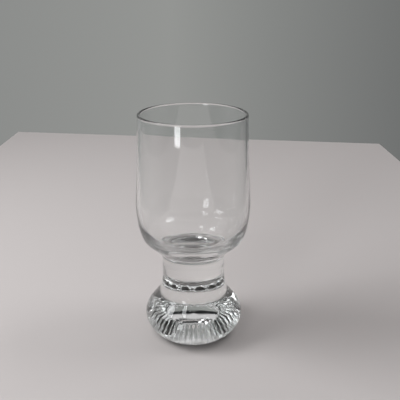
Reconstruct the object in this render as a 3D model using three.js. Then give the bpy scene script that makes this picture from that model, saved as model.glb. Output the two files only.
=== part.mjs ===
// A footed shot glass in clear, colourless glass.
//
// Three glass sections stand on one axis and meet on flat rings or discs: a pressed foot
// with a fluted hollow underneath, a solid waisted stem, and a thin blown bowl.
// Millimetres, +Z up, origin at the centre of the plane that the glass rests on.

import * as THREE from 'three';

// Heights of the two planes where the sections were fused together.
const FOOT_TOP = 19;
const STEM_TOP = 34;

// Overall sizes.
const GLASS_HEIGHT = 90.4;
const RIM_RADIUS = 20.45;
const RIM_WALL = 1.1;
const FOOT_RADIUS = 19.65;
const FOOT_NECK_RADIUS = 13.25;
const STEM_NECK_RADIUS = 12.7;

// The ring that the glass rests on.
const REST_RING_INNER = 13.1;
const REST_RING_OUTER = 13.95;

// The shallow hollow under the foot, and the flutes pressed into its slope.
const HOLLOW_HEIGHT = 4.8;
const FLUTE_COUNT = 36;
const FLUTE_DEPTH = 2.2;
const FLUTE_INNER_RADIUS = 7.2;
const FLUTE_OUTER_RADIUS = 13.0;
const FLUTE_FADE = 1.2;

// Fineness of the faceted solids.
const BOWL_SEGMENTS = 60;
const SEGMENTS_PER_FLUTE = 4;
const RIM_STEPS = 4;

// Bowl outline as [radius, height] pairs, from the stem joint up to the start of the rim.
const BOWL_OUTSIDE = [
  [STEM_NECK_RADIUS, STEM_TOP],
  [13.5, 35.7],
  [15.2, 37.4],
  [17.7, 39.7],
  [19.8, 42.0],
  [21.1, 45.8],
  [21.8, 50.4],
  [22.1, 55.8],
  [21.68, 63.0],
  [21.18, 72.0],
  [20.78, 81.0],
  [RIM_RADIUS, GLASS_HEIGHT - RIM_WALL / 2],
];

// Inside of the bowl, from the rim down to the middle of its rounded floor.
const BOWL_INSIDE = [
  [RIM_RADIUS - RIM_WALL, GLASS_HEIGHT - RIM_WALL / 2],
  [19.67, 81.0],
  [20.06, 72.0],
  [20.53, 63.0],
  [20.87, 55.8],
  [20.45, 50.4],
  [19.7, 46.9],
  [18.3, 44.2],
  [16.2, 42.05],
  [13.6, 40.35],
  [10.6, 39.1],
  [7.0, 38.25],
  [0, 38.0],
];

// The slightly waisted stem, from the foot joint up to the bowl joint.
const STEM_OUTSIDE = [
  [FOOT_NECK_RADIUS, FOOT_TOP],
  [12.9, 21.1],
  [12.5, 24.3],
  [12.35, 27.9],
  [12.4, 31.5],
  [STEM_NECK_RADIUS, STEM_TOP],
];

// Outside of the foot, from the resting ring round the bun shape up to the stem joint.
const FOOT_OUTSIDE = [
  [REST_RING_OUTER, 0],
  [15.6, 0.95],
  [17.3, 2.5],
  [18.6, 4.2],
  [19.45, 6.1],
  [FOOT_RADIUS, 8.0],
  [19.5, 9.7],
  [18.8, 11.5],
  [17.75, 13.0],
  [16.3, 14.8],
  [14.8, 16.6],
  [13.75, 17.85],
  [FOOT_NECK_RADIUS, FOOT_TOP],
];

// Underside of the foot, from the middle of the hollow down its slope to the resting ring.
const FOOT_UNDERSIDE = [
  [0, HOLLOW_HEIGHT],
  [4.0, HOLLOW_HEIGHT - 0.2],
  [7.0, HOLLOW_HEIGHT - 0.8],
  [9.0, 3.0],
  [11.0, 1.7],
  [12.4, 0.7],
  [REST_RING_INNER, 0],
];

// Points along a smooth curve through the pairs, with the given number of steps a pair.
function smoothOutline(pairs, stepsPerPair) {
  const curve = new THREE.SplineCurve(pairs.map(([radius, height]) => new THREE.Vector2(radius, height)));
  return curve.getPoints((pairs.length - 1) * stepsPerPair);
}

// Half circle that rounds the rim from the outside to the inside of the wall.
function rimOutline() {
  const arc = new THREE.EllipseCurve(
    RIM_RADIUS - RIM_WALL / 2, GLASS_HEIGHT - RIM_WALL / 2, RIM_WALL / 2, RIM_WALL / 2, 0, Math.PI,
  );
  return arc.getPoints(RIM_STEPS).slice(1, -1);
}

// A solid of revolution about Z. The outline starts and ends on the axis.
function turned(outline, segments) {
  const geometry = new THREE.LatheGeometry(outline, segments);
  geometry.rotateX(Math.PI / 2);
  return geometry;
}

// How far the flutes lift the underside at a radius and angle: rounded hollows between
// sharp radial ridges, fading out towards the middle and towards the resting ring.
function fluteLift(radius, angle) {
  const inner = THREE.MathUtils.smoothstep(radius, FLUTE_INNER_RADIUS, FLUTE_INNER_RADIUS + FLUTE_FADE);
  const outer = 1 - THREE.MathUtils.smoothstep(radius, FLUTE_OUTER_RADIUS - FLUTE_FADE, FLUTE_OUTER_RADIUS);
  return FLUTE_DEPTH * inner * outer * Math.abs(Math.sin((FLUTE_COUNT * angle) / 2));
}

function glassMaterial(name) {
  const material = new THREE.MeshStandardMaterial({
    color: new THREE.Color(0.9, 0.93, 0.92),
    roughness: 0.03,
    metalness: 0,
    transparent: true,
    opacity: 0.35,
  });
  material.name = name;
  return material;
}

function namedMesh(name, geometry) {
  const mesh = new THREE.Mesh(geometry, glassMaterial(name));
  mesh.name = name;
  return mesh;
}

function makeBowl() {
  const outline = [
    new THREE.Vector2(0, STEM_TOP),
    ...smoothOutline(BOWL_OUTSIDE, 1),
    ...rimOutline(),
    ...smoothOutline(BOWL_INSIDE, 1),
  ];
  return namedMesh('bowl', turned(outline, BOWL_SEGMENTS));
}

function makeStem() {
  const outline = [
    new THREE.Vector2(0, FOOT_TOP),
    ...smoothOutline(STEM_OUTSIDE, 1),
    new THREE.Vector2(0, STEM_TOP),
  ];
  return namedMesh('stem', turned(outline, BOWL_SEGMENTS));
}

function makeFoot() {
  const underside = smoothOutline(FOOT_UNDERSIDE, 2);
  const outline = [...underside, ...smoothOutline(FOOT_OUTSIDE, 1), new THREE.Vector2(0, FOOT_TOP)];
  const geometry = turned(outline, FLUTE_COUNT * SEGMENTS_PER_FLUTE);
  const positions = geometry.getAttribute('position');
  for (let i = 0; i < positions.count; i += 1) {
    const radius = Math.hypot(positions.getX(i), positions.getY(i));
    const angle = Math.atan2(positions.getY(i), positions.getX(i));
    const isUnderside = i % outline.length < underside.length;
    if (isUnderside) {
      positions.setZ(i, positions.getZ(i) + fluteLift(radius, angle));
    }
  }
  geometry.computeVertexNormals();
  return namedMesh('foot', geometry);
}

const shotGlass = new THREE.Group();
shotGlass.name = 'shot_glass';
shotGlass.add(makeBowl(), makeStem(), makeFoot());

export default shotGlass;
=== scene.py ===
"""A clear footed shot glass on a plain pale table top.

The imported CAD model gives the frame. Each of its three glass sections is replaced by a fine
closed mesh of the same shape: the bowl, the solid stem and the fluted foot. The sections meet
on flat discs that let light straight through, so that they look fused, as the real glass is.
"""

import math

import bmesh
import bpy
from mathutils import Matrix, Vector


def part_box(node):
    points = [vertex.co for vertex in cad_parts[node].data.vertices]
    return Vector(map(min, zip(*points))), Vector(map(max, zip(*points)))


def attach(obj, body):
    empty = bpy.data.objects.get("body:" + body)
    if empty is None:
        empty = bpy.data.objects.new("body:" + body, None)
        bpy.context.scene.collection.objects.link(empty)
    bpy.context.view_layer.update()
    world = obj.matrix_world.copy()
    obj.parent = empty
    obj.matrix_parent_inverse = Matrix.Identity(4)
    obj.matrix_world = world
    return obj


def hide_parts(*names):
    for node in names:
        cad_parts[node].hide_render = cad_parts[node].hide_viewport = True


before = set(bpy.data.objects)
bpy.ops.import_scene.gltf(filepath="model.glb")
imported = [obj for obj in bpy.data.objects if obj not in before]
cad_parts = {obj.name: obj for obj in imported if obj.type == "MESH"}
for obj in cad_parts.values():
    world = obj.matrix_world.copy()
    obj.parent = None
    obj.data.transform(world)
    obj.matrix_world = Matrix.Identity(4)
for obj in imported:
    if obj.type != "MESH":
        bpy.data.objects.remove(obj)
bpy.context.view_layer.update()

MM = 0.001

# ---------------------------------------------------------------- sizes, from the frame

foot_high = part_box("foot")[1]
stem_low, stem_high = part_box("stem")
bowl_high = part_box("bowl")[1]

GLASS_HEIGHT = bowl_high.z
FOOT_TOP = stem_low.z
STEM_TOP = stem_high.z
FOOT_RADIUS = foot_high.x
FOOT_NECK_RADIUS = stem_high.x
BOWL_RADIUS = bowl_high.x

# The bowl narrows towards its rim, and the stem towards its upper end.
RIM_RADIUS = BOWL_RADIUS - 1.65 * MM
RIM_WALL = 1.1 * MM
STEM_NECK_RADIUS = FOOT_NECK_RADIUS - 0.55 * MM

# The ring that the glass rests on, and the shallow fluted hollow inside it.
REST_RING_INNER = 13.1 * MM
REST_RING_OUTER = 13.95 * MM
HOLLOW_HEIGHT = 4.8 * MM
FLUTE_COUNT = 36
FLUTE_DEPTH = 2.2 * MM
FLUTE_INNER_RADIUS = 7.2 * MM
FLUTE_OUTER_RADIUS = 13.0 * MM
FLUTE_FADE = 1.2 * MM

# Fineness of the meshes.
BOWL_SEGMENTS = 192
SEGMENTS_PER_FLUTE = 10
STEPS_PER_PAIR = 8
RIM_STEPS = 16

# Outlines as (radius, height) pairs, in metres.
BOWL_OUTSIDE = [
    (STEM_NECK_RADIUS, STEM_TOP),
    (13.5 * MM, 35.7 * MM),
    (15.2 * MM, 37.4 * MM),
    (17.7 * MM, 39.7 * MM),
    (19.8 * MM, 42.0 * MM),
    (21.1 * MM, 45.8 * MM),
    (21.8 * MM, 50.4 * MM),
    (BOWL_RADIUS, 55.8 * MM),
    (21.68 * MM, 63.0 * MM),
    (21.18 * MM, 72.0 * MM),
    (20.78 * MM, 81.0 * MM),
    (RIM_RADIUS, GLASS_HEIGHT - RIM_WALL / 2),
]
BOWL_INSIDE = [
    (RIM_RADIUS - RIM_WALL, GLASS_HEIGHT - RIM_WALL / 2),
    (19.67 * MM, 81.0 * MM),
    (20.06 * MM, 72.0 * MM),
    (20.53 * MM, 63.0 * MM),
    (20.87 * MM, 55.8 * MM),
    (20.45 * MM, 50.4 * MM),
    (19.7 * MM, 46.9 * MM),
    (18.3 * MM, 44.2 * MM),
    (16.2 * MM, 42.05 * MM),
    (13.6 * MM, 40.35 * MM),
    (10.6 * MM, 39.1 * MM),
    (7.0 * MM, 38.25 * MM),
    (0.0, 38.0 * MM),
]
STEM_OUTSIDE = [
    (FOOT_NECK_RADIUS, FOOT_TOP),
    (12.9 * MM, 21.1 * MM),
    (12.5 * MM, 24.3 * MM),
    (12.35 * MM, 27.9 * MM),
    (12.4 * MM, 31.5 * MM),
    (STEM_NECK_RADIUS, STEM_TOP),
]
FOOT_OUTSIDE = [
    (REST_RING_OUTER, 0.0),
    (15.6 * MM, 0.95 * MM),
    (17.3 * MM, 2.5 * MM),
    (18.6 * MM, 4.2 * MM),
    (19.45 * MM, 6.1 * MM),
    (FOOT_RADIUS, 8.0 * MM),
    (19.5 * MM, 9.7 * MM),
    (18.8 * MM, 11.5 * MM),
    (17.75 * MM, 13.0 * MM),
    (16.3 * MM, 14.8 * MM),
    (14.8 * MM, 16.6 * MM),
    (13.75 * MM, 17.85 * MM),
    (FOOT_NECK_RADIUS, FOOT_TOP),
]
FOOT_UNDERSIDE = [
    (0.0, HOLLOW_HEIGHT),
    (4.0 * MM, HOLLOW_HEIGHT - 0.2 * MM),
    (7.0 * MM, HOLLOW_HEIGHT - 0.8 * MM),
    (9.0 * MM, 3.0 * MM),
    (11.0 * MM, 1.7 * MM),
    (12.4 * MM, 0.7 * MM),
    (REST_RING_INNER, 0.0),
]

# ---------------------------------------------------------------- outlines and meshes


def smooth_outline(pairs, before=None, after=None):
    """Points along a Catmull-Rom curve through the pairs. The neighbours before and after
    the stretch, where there are any, keep its ends in line with what it meets."""
    guides = [before or pairs[0], *pairs, after or pairs[-1]]
    points = []
    for p0, p1, p2, p3 in zip(guides, guides[1:], guides[2:], guides[3:]):
        for step in range(STEPS_PER_PAIR):
            t = step / STEPS_PER_PAIR
            points.append(tuple(catmull_rom(a, b, c, d, t) for a, b, c, d in zip(p0, p1, p2, p3)))
    points.append(pairs[-1])
    return points


def catmull_rom(a, b, c, d, t):
    """The value at share t of the way from b to c, with a before them and d after them."""
    slope_b = (c - a) / 2
    slope_c = (d - b) / 2
    cubic = 2 * b - 2 * c + slope_b + slope_c
    square = -3 * b + 3 * c - 2 * slope_b - slope_c
    return ((cubic * t + square) * t + slope_b) * t + b


def rim_outline():
    """Half circle that rounds the rim, without its two ends."""
    middle = RIM_RADIUS - RIM_WALL / 2
    points = []
    for step in range(1, RIM_STEPS):
        angle = math.pi * step / RIM_STEPS
        rise = RIM_WALL / 2 * math.sin(angle)
        points.append((middle + RIM_WALL / 2 * math.cos(angle), GLASS_HEIGHT - RIM_WALL / 2 + rise))
    return points


def smoothstep(value, low, high):
    share = min(1.0, max(0.0, (value - low) / (high - low)))
    return share * share * (3 - 2 * share)


def flute_lift(radius, angle):
    """How far the flutes lift the underside of the foot: rounded hollows between sharp
    radial ridges, fading out towards the middle and towards the resting ring."""
    inner = smoothstep(radius, FLUTE_INNER_RADIUS, FLUTE_INNER_RADIUS + FLUTE_FADE)
    outer = 1 - smoothstep(radius, FLUTE_OUTER_RADIUS - FLUTE_FADE, FLUTE_OUTER_RADIUS)
    return FLUTE_DEPTH * inner * outer * abs(math.sin(FLUTE_COUNT * angle / 2))


def ring_of(mesh, radius, height, segments, lift):
    """The vertices of one level of a turned piece: a single one on the axis, else a ring."""
    if radius == 0:
        return [mesh.verts.new((0, 0, height))]
    ring = []
    for segment in range(segments):
        angle = 2 * math.pi * segment / segments
        z = height + (lift(radius, angle) if lift else 0)
        ring.append(mesh.verts.new((radius * math.cos(angle), radius * math.sin(angle), z)))
    return ring


def turned_piece(name, outline, segments, joint_heights, lifted_rings=0):
    """A closed mesh turned about Z from an outline that starts and ends on the axis.
    The faces of the flat discs at joint_heights get the second material slot."""
    mesh = bmesh.new()
    rings = []
    for index, (radius, height) in enumerate(outline):
        lift = flute_lift if index < lifted_rings else None
        rings.append(ring_of(mesh, radius, height, segments, lift))
    for index, (lower, upper) in enumerate(zip(rings, rings[1:])):
        heights = {outline[index][1], outline[index + 1][1]}
        is_joint = len(heights) == 1 and heights <= joint_heights
        for segment in range(segments):
            following = (segment + 1) % segments
            if len(lower) == 1:
                corners = (lower[0], upper[following], upper[segment])
            elif len(upper) == 1:
                corners = (lower[segment], lower[following], upper[0])
            else:
                corners = (lower[segment], lower[following], upper[following], upper[segment])
            face = mesh.faces.new(corners)
            face.smooth = True
            face.material_index = 1 if is_joint else 0
    bmesh.ops.recalc_face_normals(mesh, faces=mesh.faces)
    # The joint discs meet the outside at a sharp edge.
    for edge in mesh.edges:
        slots = {face.material_index for face in edge.link_faces}
        edge.smooth = len(slots) == 1
    data = bpy.data.meshes.new(name)
    mesh.to_mesh(data)
    mesh.free()
    piece = bpy.data.objects.new(name, data)
    bpy.context.scene.collection.objects.link(piece)
    return piece


def make_bowl():
    outside = smooth_outline(BOWL_OUTSIDE, before=STEM_OUTSIDE[-2])
    outline = [(0, STEM_TOP), *outside, *rim_outline(), *smooth_outline(BOWL_INSIDE)]
    return turned_piece("clear_bowl", outline, BOWL_SEGMENTS, {STEM_TOP})


def make_stem():
    outside = smooth_outline(STEM_OUTSIDE, before=FOOT_OUTSIDE[-2], after=BOWL_OUTSIDE[1])
    outline = [(0, FOOT_TOP), *outside, (0, STEM_TOP)]
    return turned_piece("clear_stem", outline, BOWL_SEGMENTS, {FOOT_TOP, STEM_TOP})


def make_foot():
    underside = smooth_outline(FOOT_UNDERSIDE)
    outside = smooth_outline(FOOT_OUTSIDE, after=STEM_OUTSIDE[1])
    outline = [*underside, *outside, (0, FOOT_TOP)]
    segments = FLUTE_COUNT * SEGMENTS_PER_FLUTE
    return turned_piece("fluted_foot", outline, segments, {FOOT_TOP}, lifted_rings=len(underside))


# ---------------------------------------------------------------- materials


def new_material(name):
    """A material with an empty node tree and its output node."""
    material = bpy.data.materials.new(name)
    material.use_nodes = True
    material.node_tree.nodes.clear()
    output = material.node_tree.nodes.new("ShaderNodeOutputMaterial")
    return material, material.node_tree, output


def blend_tones(tree, value, span, tone_a, tone_b):
    """Goes smoothly from tone_a to tone_b as value goes from one end of the span to the other.
    A tone is a colour or the output of another node."""
    share = tree.nodes.new("ShaderNodeMapRange")
    share.interpolation_type = "SMOOTHSTEP"
    share.inputs["From Min"].default_value = span[0]
    share.inputs["From Max"].default_value = span[1]
    tree.links.new(value, share.inputs["Value"])
    mix = tree.nodes.new("ShaderNodeMix")
    mix.data_type = "RGBA"
    tree.links.new(share.outputs["Result"], mix.inputs["Factor"])
    for socket, tone in (("A", tone_a), ("B", tone_b)):
        if isinstance(tone, tuple):
            mix.inputs[socket].default_value = (*tone, 1)
        else:
            tree.links.new(tone, mix.inputs[socket])
    return mix.outputs["Result"]


GLASS_IOR = 1.51

# Faint ripples from working the glass hot, a little closer together in height than around.
RIPPLE_DEPTH = 0.01 * MM
RIPPLE_SCALE = 120
RIPPLE_STRETCH = (1, 1, 1.6)

# Handling marks: patches of a noise above its first level, at full strength from the second.
SMUDGE_SCALE = 90
SMUDGE_LEVELS = (0.55, 0.75)


def clear_glass(name, tint, smudge_roughness, film_share=0.0):
    """Clear polished glass, almost perfectly smooth. smudge_roughness is the roughness of the
    handling marks, and film_share the small share of light that a thin film scatters."""
    material, tree, output = new_material(name)
    glass = tree.nodes.new("ShaderNodeBsdfPrincipled")
    glass.inputs["Base Color"].default_value = (*tint, 1)
    glass.inputs["Transmission Weight"].default_value = 1 - film_share
    glass.inputs["IOR"].default_value = GLASS_IOR

    place = tree.nodes.new("ShaderNodeTexCoord")
    smudges = tree.nodes.new("ShaderNodeTexNoise")
    smudges.inputs["Scale"].default_value = SMUDGE_SCALE
    smudges.inputs["Detail"].default_value = 3
    tree.links.new(place.outputs["Object"], smudges.inputs["Vector"])
    roughness = tree.nodes.new("ShaderNodeMapRange")
    roughness.inputs["From Min"].default_value = SMUDGE_LEVELS[0]
    roughness.inputs["From Max"].default_value = SMUDGE_LEVELS[1]
    roughness.inputs["To Max"].default_value = smudge_roughness
    tree.links.new(smudges.outputs["Fac"], roughness.inputs["Value"])
    tree.links.new(roughness.outputs["Result"], glass.inputs["Roughness"])

    stretch = tree.nodes.new("ShaderNodeMapping")
    stretch.inputs["Scale"].default_value = RIPPLE_STRETCH
    tree.links.new(place.outputs["Object"], stretch.inputs["Vector"])
    ripples = tree.nodes.new("ShaderNodeTexNoise")
    ripples.inputs["Scale"].default_value = RIPPLE_SCALE
    ripples.inputs["Detail"].default_value = 1
    tree.links.new(stretch.outputs["Vector"], ripples.inputs["Vector"])
    bump = tree.nodes.new("ShaderNodeBump")
    bump.inputs["Strength"].default_value = 1
    bump.inputs["Distance"].default_value = RIPPLE_DEPTH
    tree.links.new(ripples.outputs["Fac"], bump.inputs["Height"])
    tree.links.new(bump.outputs["Normal"], glass.inputs["Normal"])
    tree.links.new(glass.outputs["BSDF"], output.inputs["Surface"])
    return material


def fused_joint():
    """The disc where two sections were fused: light passes straight through it."""
    material, tree, output = new_material("fused_joint")
    through = tree.nodes.new("ShaderNodeBsdfTransparent")
    tree.links.new(through.outputs["BSDF"], output.inputs["Surface"])
    return material


TABLE_TONE = (0.585, 0.548, 0.537)
# Painted shade: under the foot the table's colour darkens to this tone, between these distances from
# the glass's axis.
PAINTED_SHADE_TONE = (0.05, 0.047, 0.046)
PAINTED_SHADE_EDGE = (11 * MM, 19 * MM)


def table_material():
    """A plain matt table top, with painted shade under the foot: its colour darkens by the distance
    from the glass's axis, standing in for the little light between the thick glass and the table."""
    material, tree, output = new_material("pale_table_top")
    surface = tree.nodes.new("ShaderNodeBsdfPrincipled")
    place = tree.nodes.new("ShaderNodeTexCoord")
    distance = tree.nodes.new("ShaderNodeVectorMath")
    distance.operation = "LENGTH"
    tree.links.new(place.outputs["Object"], distance.inputs[0])
    # Painted shade under the foot: darker tone towards the glass's axis.
    tone = blend_tones(tree, distance.outputs["Value"], PAINTED_SHADE_EDGE, PAINTED_SHADE_TONE, TABLE_TONE)
    tree.links.new(tone, surface.inputs["Base Color"])
    surface.inputs["Roughness"].default_value = 0.8
    surface.inputs["Specular IOR Level"].default_value = 0.2
    tree.links.new(surface.outputs["BSDF"], output.inputs["Surface"])
    return material


# ---------------------------------------------------------------- the glass

joint = fused_joint()
bowl_glass = clear_glass("bowl_glass", (0.995, 1.0, 0.998), smudge_roughness=0.06, film_share=0.015)
stem_glass = clear_glass("stem_glass", (0.99, 1.0, 0.995), smudge_roughness=0.04)
foot_glass = clear_glass("foot_glass", (0.985, 1.0, 0.993), smudge_roughness=0.04)
sections = [
    (make_bowl(), "bowl", "bowl_glass", bowl_glass),
    (make_stem(), "stem", "stem_glass", stem_glass),
    (make_foot(), "foot", "foot_glass", foot_glass),
]
for piece, node, slot, glass in sections:
    piece.data.materials.append(glass)
    piece.data.materials.append(joint)
    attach(piece, "root")
    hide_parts(node)

# ---------------------------------------------------------------- table top, room and lights

# Edges of the table top. Its back edge is a little nearer on the right.
TABLE_LEFT = -0.181
TABLE_RIGHT = 0.170
TABLE_BACK_LEFT = 0.348
TABLE_BACK_RIGHT = 0.301
TABLE_FRONT = -0.45
TABLE_THICKNESS = 0.02
TABLE_EDGE_ROUNDING = 0.002
TABLE_GAP = 0.0002


def make_table():
    """A plain pale slab, its far edge a little askew, just under the glass."""
    mesh = bmesh.new()
    corners = [
        (TABLE_LEFT, TABLE_FRONT),
        (TABLE_RIGHT, TABLE_FRONT),
        (TABLE_RIGHT, TABLE_BACK_RIGHT),
        (TABLE_LEFT, TABLE_BACK_LEFT),
    ]
    bottom = mesh.faces.new([mesh.verts.new((x, y, -TABLE_GAP - TABLE_THICKNESS)) for x, y in corners])
    raised = bmesh.ops.extrude_face_region(mesh, geom=[bottom])
    for item in raised["geom"]:
        if isinstance(item, bmesh.types.BMVert):
            item.co.z += TABLE_THICKNESS
    bmesh.ops.bevel(mesh, geom=mesh.edges, offset=TABLE_EDGE_ROUNDING, segments=3, affect="EDGES")
    bmesh.ops.recalc_face_normals(mesh, faces=mesh.faces)
    data = bpy.data.meshes.new("table_top")
    mesh.to_mesh(data)
    mesh.free()
    table = bpy.data.objects.new("table_top", data)
    bpy.context.scene.collection.objects.link(table)
    table.data.materials.append(table_material())


# Tones of the wall, from far left to far right. The first value of each is the sideways part
# of the direction, from -1 to 1.
WALL_TONES = [
    (-0.62, (0.3, 0.306, 0.3)),
    (-0.42, (0.254, 0.26, 0.254)),
    (-0.05, (0.296, 0.302, 0.292)),
    (0.12, (0.235, 0.242, 0.235)),
    (0.38, (0.15, 0.155, 0.153)),
    (0.56, (0.15, 0.155, 0.152)),
]
ROOM_DARK = (0.015, 0.016, 0.017)
CEILING = (0.6, 0.585, 0.59)
SOFTBOX = (0.9, 0.9, 0.9)
SOFTBOX_DIRECTION = (-0.69, -0.22, 0.69)

# Where one tone of the room goes over into the next, as parts of the direction.
WALL_SIDES = (-0.7, 0.0)
WALL_TOP = (0.40, 0.46)
CEILING_FRONT = (-0.4, 0.1)
CEILING_BACK = (0.53, 0.60)
SOFTBOX_EDGE = (0.82, 0.96)


def make_room():
    """A soft surround: a gray wall behind the table and beside it, a dim room in front, and a
    pale ceiling above a dim strip. The softbox high on the left lights the table, directly
    and through the glass, but it is neither mirrored nor seen in the glass."""
    world = bpy.data.worlds.new("room")
    bpy.context.scene.world = world
    world.use_nodes = True
    tree = world.node_tree
    place = tree.nodes.new("ShaderNodeTexCoord")
    split = tree.nodes.new("ShaderNodeSeparateXYZ")
    tree.links.new(place.outputs["Generated"], split.inputs["Vector"])
    across = tree.nodes.new("ShaderNodeMapRange")
    across.inputs["From Min"].default_value = -1
    tree.links.new(split.outputs["X"], across.inputs["Value"])
    wall = tree.nodes.new("ShaderNodeValToRGB")
    tree.links.new(across.outputs["Result"], wall.inputs["Fac"])
    ramp = wall.color_ramp.elements
    while len(ramp) < len(WALL_TONES):
        ramp.new(0.5)
    for stop, (sideways, tone) in zip(ramp, WALL_TONES):
        stop.position = sideways / 2 + 0.5
        stop.color = (*tone, 1)
    around = blend_tones(tree, split.outputs["Y"], WALL_SIDES, ROOM_DARK, wall.outputs["Color"])
    lower = blend_tones(tree, split.outputs["Z"], WALL_TOP, around, ROOM_DARK)
    ceiling = blend_tones(tree, split.outputs["Y"], CEILING_FRONT, ROOM_DARK, CEILING)
    room = blend_tones(tree, split.outputs["Z"], CEILING_BACK, lower, ceiling)
    towards = tree.nodes.new("ShaderNodeVectorMath")
    towards.operation = "DOT_PRODUCT"
    towards.inputs[1].default_value = SOFTBOX_DIRECTION
    tree.links.new(place.outputs["Generated"], towards.inputs[0])
    with_softbox = blend_tones(tree, towards.outputs["Value"], SOFTBOX_EDGE, room, SOFTBOX)
    path = tree.nodes.new("ShaderNodeLightPath")
    lit = blend_tones(tree, path.outputs["Diffuse Depth"], (0, 1), room, with_softbox)
    tree.links.new(lit, tree.nodes["Background"].inputs["Color"])
    world.cycles.sampling_method = "NONE"


DAYLIGHT = (0.97, 0.985, 1.0)
LIGHT_LEVEL = GLASS_HEIGHT * 0.6


def window(name, azimuth, span, low, high, distance, brightness):
    """An upright pane of soft daylight that faces the glass. azimuth is its direction from
    the glass in degrees, clockwise from +Y. span is its width and low and high are its lower
    and upper edges, all in degrees as seen from the glass's axis at LIGHT_LEVEL."""
    width = 2 * distance * math.tan(math.radians(span / 2))
    bottom = distance * math.tan(math.radians(low))
    top = distance * math.tan(math.radians(high))
    data = bpy.data.lights.new(name, "AREA")
    data.shape = "RECTANGLE"
    data.size = width
    data.size_y = top - bottom
    data.energy = brightness * math.pi * width * (top - bottom)
    data.color = DAYLIGHT
    lamp = bpy.data.objects.new(name, data)
    bpy.context.scene.collection.objects.link(lamp)
    turn = math.radians(azimuth)
    outwards = Vector((math.sin(turn), math.cos(turn), 0))
    lamp.location = outwards * distance + Vector((0, 0, LIGHT_LEVEL + (bottom + top) / 2))
    lamp.rotation_euler = (-outwards).to_track_quat("-Z", "Y").to_euler()
    lamp.visible_camera = False
    return lamp


make_table()
make_room()
window("window_front_left", azimuth=-150, span=11.5, low=-8.6, high=28, distance=0.8, brightness=6.5)
window("window_front_left_top", azimuth=-150, span=11.5, low=42, high=50, distance=0.8, brightness=6.5)
window("window_left", azimuth=-109, span=20, low=21, high=37, distance=0.7, brightness=6.5)
window("window_right_high", azimuth=80, span=30, low=48, high=62, distance=1.0, brightness=5.5)

# The fill lights the table from the left, but isn't seen in the glass.
fill = window("studio_fill", azimuth=-88, span=30, low=25, high=48, distance=0.35, brightness=10.5)
fill.visible_glossy = False
fill.visible_transmission = False


# ---------------------------------------------------------------- camera

CAMERA_PLACE = (2.66 * MM, -202.8 * MM, 132.3 * MM)
CAMERA_PITCH = math.radians(20.52)
SENSOR_WIDTH = 36
LENS = 50.4


def make_camera():
    data = bpy.data.cameras.new("camera")
    data.sensor_width = SENSOR_WIDTH
    data.lens = LENS
    data.clip_start = 0.01
    camera = bpy.data.objects.new("camera", data)
    bpy.context.scene.collection.objects.link(camera)
    camera.location = CAMERA_PLACE
    camera.rotation_euler = (math.pi / 2 - CAMERA_PITCH, 0, 0)
    bpy.context.scene.camera = camera


make_camera()
bpy.context.scene.view_settings.view_transform = "Standard"

# Light crosses and meets the thick glass many times on its way.
cycles = bpy.context.scene.cycles
cycles.max_bounces = 32
cycles.transmission_bounces = 32
cycles.transparent_max_bounces = 32
cycles.glossy_bounces = 16
